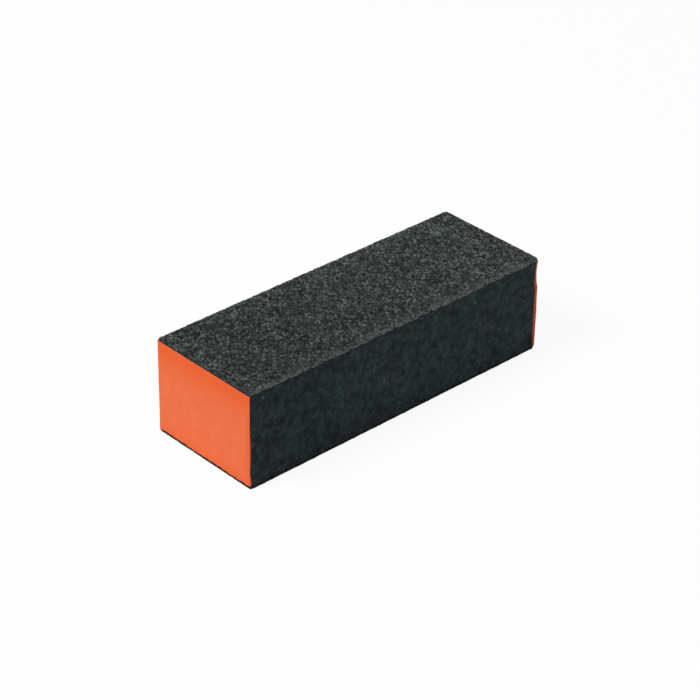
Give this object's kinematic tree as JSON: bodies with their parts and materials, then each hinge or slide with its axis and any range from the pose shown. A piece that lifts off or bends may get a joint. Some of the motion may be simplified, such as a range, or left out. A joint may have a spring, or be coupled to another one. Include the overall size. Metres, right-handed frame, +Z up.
{
  "type": "nail sanding block",
  "caption": "Rectangular foam bar with abrasive paper glued to its top, bottom and one long side, for shaping and smoothing nails by hand.",
  "frame": {"origin": "middle of the block's footprint, on the surface that the bottom sheet rests on", "axes": "+X along the block to the end where the front sheet stops short of the foam, +Y out of the bare grip side, so the finer sheet faces -Y, and +Z up out of the top sheet"},
  "size_m": [0.095, 0.0336, 0.026],
  "materials": {
    "orange_foam": "matte",
    "adhesive": "satin",
    "backing_paper": "matte",
    "coarse_grit": "matte",
    "fine_grit": "matte"
  },
  "bodies": {
    "root": {"foam_core": "orange_foam", "top_adhesive_film": "adhesive", "top_backing_paper": "backing_paper", "top_grit_coat": "coarse_grit", "front_adhesive_film": "adhesive", "front_backing_paper": "backing_paper", "front_grit_coat": "fine_grit", "bottom_adhesive_film": "adhesive", "bottom_backing_paper": "backing_paper", "bottom_grit_coat": "coarse_grit"}
  },
  "joints": []
}
